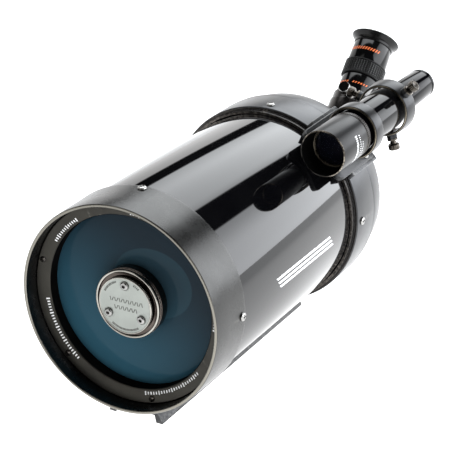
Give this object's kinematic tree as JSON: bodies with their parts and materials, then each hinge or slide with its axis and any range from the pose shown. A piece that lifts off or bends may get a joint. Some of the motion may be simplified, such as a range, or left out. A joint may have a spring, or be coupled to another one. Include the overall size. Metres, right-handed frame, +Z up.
{
  "type": "catadioptric telescope",
  "caption": "Short-tube compound telescope on a dovetail bar, with a ring-mounted finder, an angled diagonal and an eyepiece at the back.",
  "frame": {"origin": "centre of the flat underside of the dovetail bar", "axes": "+Y along the optical axis from the objective to the eyepiece, +Z up from the bar, +X to the right seen from the front with the bar down"},
  "size_m": [0.1828, 0.4344, 0.1936],
  "materials": {
    "powder_coat": "satin dark grey powder coat on cast aluminium, fine orange peel",
    "ring_coat": "warm grey matt paint",
    "tube_gloss": "deep gloss black enamel",
    "anodised_black": "black anodised, fine turning marks",
    "moulded_black": "moulded black plastic, fine texture",
    "eyepiece_gloss": "gloss black with orange bands",
    "coated_glass": "blue anti-reflection coating",
    "lens_glass": "clear coated optical glass",
    "mirror_coat": "first-surface aluminium",
    "face_plate": "matt silver-grey plate",
    "chrome": "polished",
    "gunmetal": "knurled gunmetal",
    "rubber": "matt black rubber"
  },
  "bodies": {
    "optical_assembly": {"front_cell": "powder_coat", "corrector_plate": "coated_glass", "corrector_retaining_ring": "ring_coat", "secondary_housing": "anodised_black", "secondary_face_plate": "face_plate", "secondary_baffle": "anodised_black", "secondary_mirror": "mirror_coat", "optical_tube": "tube_gloss", "rear_cell": "powder_coat", "baffle_tube": "anodised_black", "dovetail_bar": "powder_coat", "bar_saddle_front": "anodised_black", "bar_saddle_rear": "anodised_black", "bar_screw_front": "chrome", "bar_screw_rear": "chrome", "finder_bracket": "powder_coat", "bracket_screw_1": "chrome", "bracket_screw_2": "chrome", "front_cell_screw_1": "chrome", "front_cell_screw_2": "chrome", "front_cell_screw_3": "chrome", "front_cell_screw_4": "chrome", "rear_cell_screw_1": "chrome", "rear_cell_screw_2": "chrome", "rear_cell_screw_3": "chrome", "rear_cell_screw_4": "chrome"},
    "collimation_screw_1": {"collimation_screw_1": "chrome"},
    "collimation_screw_2": {"collimation_screw_2": "chrome"},
    "collimation_screw_3": {"collimation_screw_3": "chrome"},
    "mirror_carriage": {"primary_mirror": "mirror_coat", "mirror_carrier": "anodised_black", "focus_rod": "chrome"},
    "focus_knob": {"focus_knob": "rubber"},
    "visual_back_collar": {"visual_back_collar": "powder_coat"},
    "visual_back": {"visual_back_sleeve": "anodised_black"},
    "visual_back_thumbscrew": {"visual_back_thumbscrew": "chrome"},
    "diagonal": {"diagonal_nosepiece": "chrome", "diagonal_housing": "moulded_black", "diagonal_prism": "lens_glass", "eyepiece_holder": "anodised_black"},
    "eyepiece_thumbscrew": {"eyepiece_thumbscrew": "chrome"},
    "eyepiece": {"eyepiece_barrel": "chrome", "eyepiece_body": "eyepiece_gloss", "eyepiece_grip": "rubber", "eyecup": "rubber", "eye_lens": "lens_glass", "field_lens": "lens_glass"},
    "finder_pivot": {"finder_o_ring": "rubber"},
    "finder": {"finder_tube": "tube_gloss", "finder_eyepiece_tube": "tube_gloss", "finder_eye_lens": "lens_glass"},
    "finder_objective": {"finder_objective_cell": "powder_coat", "finder_objective_lens": "lens_glass", "finder_lens_ring": "anodised_black"},
    "finder_lock_ring": {"finder_lock_ring": "anodised_black"},
    "finder_adjust_screw_1": {"finder_adjust_screw_1": "gunmetal"},
    "finder_adjust_screw_2": {"finder_adjust_screw_2": "gunmetal"},
    "finder_adjust_screw_3": {"finder_adjust_screw_3": "gunmetal"}
  },
  "joints": [
    {"name": "collimation_turn_1", "type": "hinge", "parent": "optical_assembly", "child": "collimation_screw_1", "pos_m": [0, -0.12205, 0.1073], "axis": [0, -1, 0], "range_deg": [-360, 360]},
    {"name": "collimation_turn_2", "type": "hinge", "parent": "optical_assembly", "child": "collimation_screw_2", "pos_m": [0.01299, -0.12205, 0.0848], "axis": [0, -1, 0], "range_deg": [-360, 360]},
    {"name": "collimation_turn_3", "type": "hinge", "parent": "optical_assembly", "child": "collimation_screw_3", "pos_m": [-0.01299, -0.12205, 0.0848], "axis": [0, -1, 0], "range_deg": [-360, 360]},
    {"name": "focus_turn", "type": "hinge", "parent": "optical_assembly", "child": "focus_knob", "pos_m": [-0.03604, 0.15325, 0.06706], "axis": [0, 1, 0], "range_deg": [-3605, 3605]},
    {"name": "mirror_travel", "type": "slide", "parent": "optical_assembly", "child": "mirror_carriage", "axis": [0, 1, 0], "range_m": [-0.008, 0.008]},
    {"name": "collar_turn", "type": "hinge", "parent": "optical_assembly", "child": "visual_back_collar", "pos_m": [0, 0.14825, 0.0923], "axis": [0, 1, 0], "continuous": true},
    {"name": "visual_back_swivel", "type": "hinge", "parent": "optical_assembly", "child": "visual_back", "pos_m": [0, 0.16825, 0.0923], "axis": [0, 1, 0], "continuous": true},
    {"name": "visual_back_clamp_turn", "type": "hinge", "parent": "visual_back", "child": "visual_back_thumbscrew", "pos_m": [-0.025, 0.17225, 0.0923], "axis": [-1, 0, 0], "range_deg": [0, 720]},
    {"name": "diagonal_slide", "type": "slide", "parent": "visual_back", "child": "diagonal", "axis": [0, 1, 0], "range_m": [0, 0.028]},
    {"name": "eyepiece_clamp_turn", "type": "hinge", "parent": "diagonal", "child": "eyepiece_thumbscrew", "pos_m": [0, 0.23158, 0.14201], "axis": [0, -0.7071, 0.7071], "range_deg": [0, 720]},
    {"name": "eyepiece_slide", "type": "slide", "parent": "diagonal", "child": "eyepiece", "axis": [0, 0.7071, 0.7071], "range_m": [0, 0.026]},
    {"name": "finder_altitude", "type": "hinge", "parent": "optical_assembly", "child": "finder_pivot", "pos_m": [0.07566, 0.08175, 0.16796], "axis": [0.7071, 0, -0.7071], "range_deg": [-1.2, 1.2]},
    {"name": "finder_azimuth", "type": "hinge", "parent": "finder_pivot", "child": "finder", "pos_m": [0.07566, 0.08175, 0.16796], "axis": [0.7071, 0, 0.7071], "range_deg": [-1.2, 1.2]},
    {"name": "finder_focus", "type": "slide", "parent": "finder", "child": "finder_objective", "axis": [0, -1, 0], "range_m": [0, 0.005]},
    {"name": "finder_lock_turn", "type": "hinge", "parent": "finder", "child": "finder_lock_ring", "pos_m": [0.07566, 0.06925, 0.16796], "axis": [0, 1, 0], "continuous": true},
    {"name": "finder_adjust_travel_1", "type": "slide", "parent": "optical_assembly", "child": "finder_adjust_screw_1", "axis": [0.7071, 0, 0.7071], "range_m": [-0.0013, 0.0013]},
    {"name": "finder_adjust_travel_2", "type": "slide", "parent": "optical_assembly", "child": "finder_adjust_screw_2", "axis": [0.2588, 0, -0.9659], "range_m": [-0.0013, 0.0013]},
    {"name": "finder_adjust_travel_3", "type": "slide", "parent": "optical_assembly", "child": "finder_adjust_screw_3", "axis": [-0.9659, 0, 0.2588], "range_m": [-0.0013, 0.0013]}
  ],
  "couplings": [
    {"joint": "focus_turn", "follows": "mirror_travel", "rad_per_m": 7854},
    {"joint": "finder_adjust_travel_1", "follows": "finder_altitude", "m_per_rad": 0.057},
    {"joint": "finder_adjust_travel_2", "follows": "finder_azimuth", "m_per_rad": -0.049363},
    {"joint": "finder_adjust_travel_3", "follows": "finder_azimuth", "m_per_rad": 0.049363}
  ]
}
